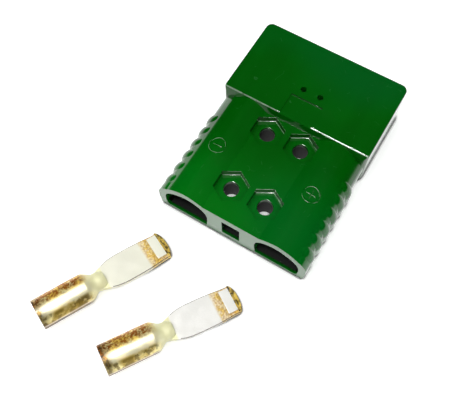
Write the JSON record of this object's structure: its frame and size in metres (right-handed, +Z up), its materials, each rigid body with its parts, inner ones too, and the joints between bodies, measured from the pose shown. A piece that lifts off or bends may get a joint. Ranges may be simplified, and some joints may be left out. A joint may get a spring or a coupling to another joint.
{
  "type": "battery connector",
  "caption": "Battery power connector: flat ribbed housing with a wide mating hood, bolt pockets and arched cable windows, and its crimp contacts laid out beside it.",
  "frame": {"origin": "middle of the housing's underside, on the floor it lies on", "axes": "+Z up from the floor, +Y along the housing from its cable end to its mating mouth, +X across it to the right seen from above with the mouth away from the viewer"},
  "size_m": [0.1213, 0.2291, 0.03],
  "materials": {
    "housing_plastic": "glossy deep green moulded plastic",
    "contact_left_metal": "bright plated metal with a brown tarnish on the barrel",
    "contact_right_metal": "bright plated metal with a brown tarnish on the barrel",
    "spring_left_steel": "brushed",
    "spring_right_steel": "brushed"
  },
  "bodies": {
    "root": {"housing": "housing_plastic", "contact_left": "contact_left_metal", "contact_right": "contact_right_metal", "spring_left": "spring_left_steel", "spring_right": "spring_right_steel"}
  },
  "joints": []
}
